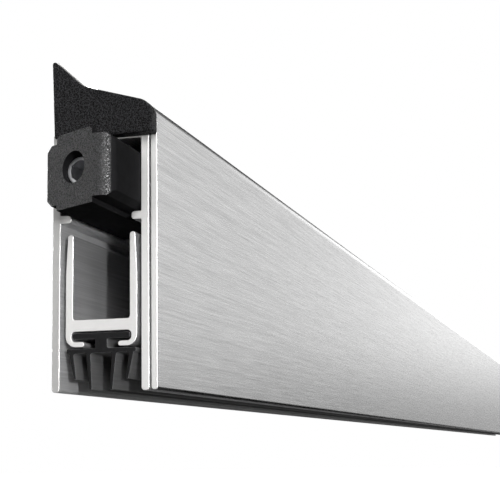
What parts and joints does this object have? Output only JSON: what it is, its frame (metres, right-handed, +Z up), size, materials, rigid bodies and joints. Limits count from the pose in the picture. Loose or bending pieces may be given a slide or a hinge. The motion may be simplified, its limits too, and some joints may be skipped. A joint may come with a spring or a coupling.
{
  "type": "automatic door bottom seal",
  "caption": "Surface-mounted door bottom seal: pressing the block at its end slides a rod, and bell cranks lower the finned rubber seal out of the aluminium housing.",
  "frame": {"origin": "middle of the seal's length and depth, at the housing's open bottom edges", "axes": "+X along the seal, away from the end with the push block; +Y towards the door face; +Z up"},
  "size_m": [0.7232, 0.0164, 0.0493],
  "materials": {
    "extruded_aluminium": "satin anodised",
    "brushed_aluminium": "brushed along its length",
    "black_plastic": "leather grain",
    "slider_plastic": "smooth moulded",
    "cast_zinc": "as cast",
    "zinc_plated_steel": "zinc plated",
    "spring_steel": "drawn wire",
    "black_rubber": "matt extruded"
  },
  "bodies": {
    "housing": {"housing_profile": "extruded_aluminium", "cover_profile": "brushed_aluminium", "front_end_cap": "black_plastic", "rear_end_cap": "black_plastic", "front_lift_frame": "cast_zinc", "front_pivot_pin": "zinc_plated_steel", "front_return_spring": "spring_steel", "rear_lift_frame": "cast_zinc", "rear_pivot_pin": "zinc_plated_steel", "rear_return_spring": "spring_steel"},
    "plunger": {"push_rod": "zinc_plated_steel", "rod_end": "cast_zinc", "screw_clip": "zinc_plated_steel", "front_slider_fork": "slider_plastic", "front_rod_pin": "zinc_plated_steel", "rear_slider_fork": "slider_plastic", "rear_rod_pin": "zinc_plated_steel"},
    "block": {"actuator_block": "black_plastic"},
    "screw": {"adjust_screw": "zinc_plated_steel"},
    "front_crank": {"front_bell_crank": "cast_zinc"},
    "rear_crank": {"rear_bell_crank": "cast_zinc"},
    "carrier": {"carrier_profile": "extruded_aluminium", "seal_strip": "black_rubber", "front_carrier_bracket": "zinc_plated_steel", "front_carrier_pin": "zinc_plated_steel", "rear_carrier_bracket": "zinc_plated_steel", "rear_carrier_pin": "zinc_plated_steel"}
  },
  "joints": [
    {"name": "plunger_press", "type": "slide", "parent": "housing", "child": "plunger", "axis": [1, 0, 0], "range_m": [0, 0.00743], "stiffness_N_per_m": 600, "springref_m": -0.012, "deforming": ["front_return_spring", "rear_return_spring"]},
    {"name": "carrier_drop", "type": "slide", "parent": "housing", "child": "carrier", "axis": [0, 0, -1], "range_m": [0, 0.01101]},
    {"name": "front_crank_swing", "type": "hinge", "parent": "housing", "child": "front_crank", "pos_m": [-0.2006, 0.0005, 0.0168], "axis": [0, 1, 0], "range_deg": [0, 44.01]},
    {"name": "rear_crank_swing", "type": "hinge", "parent": "housing", "child": "rear_crank", "pos_m": [0.2094, 0.0005, 0.0168], "axis": [0, 1, 0], "range_deg": [0, 44.01]},
    {"name": "adjust_screw_turn", "type": "hinge", "parent": "plunger", "child": "screw", "pos_m": [-0.3506, 0.00135, 0.0311], "axis": [1, 0, 0], "range_deg": [-1080, 1440]},
    {"name": "block_adjust", "type": "slide", "parent": "plunger", "child": "block", "axis": [-1, 0, 0], "range_m": [-0.0024, 0.0032]}
  ],
  "couplings": [
    {"joint": "carrier_drop", "follows": "plunger_press", "ratio": 1.4793},
    {"joint": "front_crank_swing", "follows": "plunger_press", "rad_per_m": 103.3},
    {"joint": "rear_crank_swing", "follows": "plunger_press", "rad_per_m": 103.3},
    {"joint": "adjust_screw_turn", "follows": "block_adjust", "rad_per_m": 7854}
  ]
}
